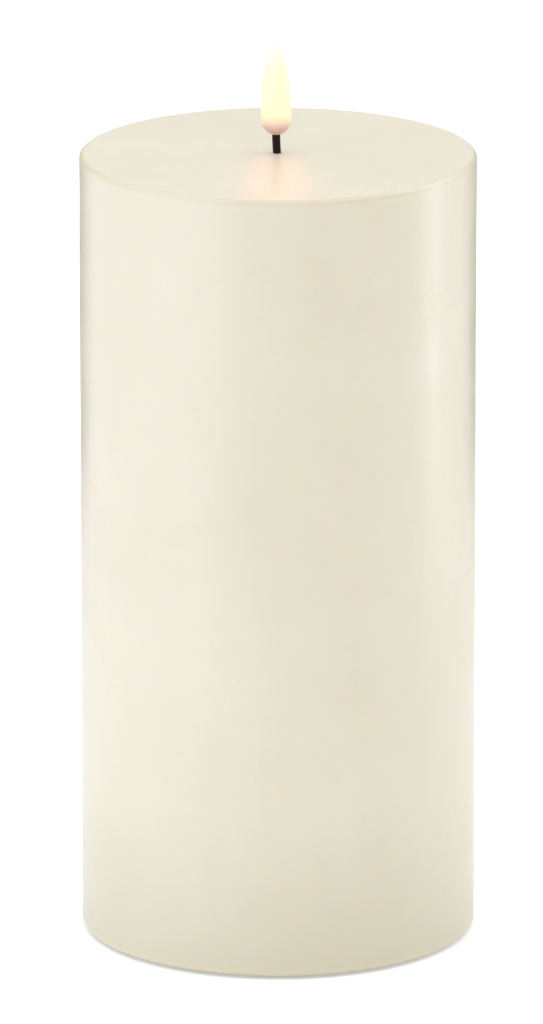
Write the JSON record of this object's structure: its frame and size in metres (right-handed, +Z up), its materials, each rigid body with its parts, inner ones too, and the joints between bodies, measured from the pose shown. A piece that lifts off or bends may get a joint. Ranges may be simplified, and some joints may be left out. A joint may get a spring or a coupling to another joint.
{
  "type": "flameless led pillar candle",
  "caption": "Flameless LED pillar candle: ivory wax cylinder with a gently dished top, black wick and glowing flame bulb, over a core with a battery box and hinged door.",
  "frame": {"origin": "where the candle's axis meets the resting plane under the four feet", "axes": "+Z up along the candle's axis to the flame; -Y is the front, the side of the battery door's hinge; +Y is the switch side; +X is to the right seen from the front"},
  "size_m": [0.1, 0.1, 0.2303],
  "materials": {
    "wax": "satin wax, slightly translucent",
    "white_plastic": "fine moulded texture",
    "ivory_plastic": "fine moulded texture",
    "knob_plastic": "moulded",
    "plated_steel": "zinc plated",
    "contact_metal": "nickel plated",
    "spring_wire": "nickel plated wire",
    "cell_jacket": "plain printed jacket with a metal band",
    "label_film": "blank satin film",
    "circuit_board": "solder mask",
    "chip_black": "moulded epoxy",
    "capacitor_sleeve": "shrink sleeve",
    "header_plastic": "moulded nylon",
    "wire_red": "PVC insulation",
    "wire_black": "PVC insulation",
    "wire_grey": "PVC insulation",
    "wire_white": "PVC insulation",
    "wick_black": "matt tube",
    "flame_plastic": "frosted translucent bulb",
    "flex_board": "thin flexible board",
    "led_lens": "phosphor face",
    "foot_rubber": "soft pad"
  },
  "bodies": {
    "root": {"wax_shell": "wax", "core_sleeve": "white_plastic", "base_plate": "ivory_plastic", "battery_box": "white_plastic", "hinge_pin": "plated_steel", "plus_contact": "contact_metal", "minus_contact": "contact_metal", "minus_spring": "spring_wire", "cell_left": "cell_jacket", "cell_right": "cell_jacket", "main_board": "circuit_board", "control_chip": "chip_black", "crystal": "plated_steel", "capacitor": "capacitor_sleeve", "transistors": "chip_black", "resistors": "chip_black", "battery_connector": "header_plastic", "switch_connector": "header_plastic", "flame_connector": "header_plastic", "switch_board": "circuit_board", "switch_case": "plated_steel", "lead_plus": "wire_red", "lead_minus": "wire_black", "switch_leads": "wire_grey", "flame_leads": "wire_white", "flame_board": "circuit_board", "ir_receiver": "chip_black", "wick_socket": "white_plastic", "socket_ring": "plated_steel", "wick": "wick_black", "flame_bulb": "flame_plastic", "flame_strip": "flex_board", "led_upper": "led_lens", "led_lower": "led_lens", "feet": "foot_rubber", "base_screws": "plated_steel", "board_screws": "plated_steel", "switch_screws": "plated_steel", "flame_board_screws": "plated_steel"},
    "battery_door": {"battery_door": "ivory_plastic", "door_label": "label_film", "bridge_contact": "contact_metal", "bridge_spring": "spring_wire"},
    "door_latch": {"door_latch": "ivory_plastic"},
    "switch_knob": {"switch_knob": "knob_plastic"}
  },
  "joints": [
    {"name": "door_hinge", "type": "hinge", "parent": "root", "child": "battery_door", "pos_m": [0, -0.0224, 0.0044], "axis": [-1, 0, 0], "range_deg": [0, 95]},
    {"name": "latch_flex", "type": "hinge", "parent": "battery_door", "child": "door_latch", "pos_m": [0, 0.0174, 0.013], "axis": [-1, 0, 0], "range_deg": [0, 8], "stiffness_Nm_per_rad": 0.05},
    {"name": "switch_slide", "type": "slide", "parent": "root", "child": "switch_knob", "axis": [1, 0, 0], "range_m": [-0.0025, 0.0025]}
  ]
}
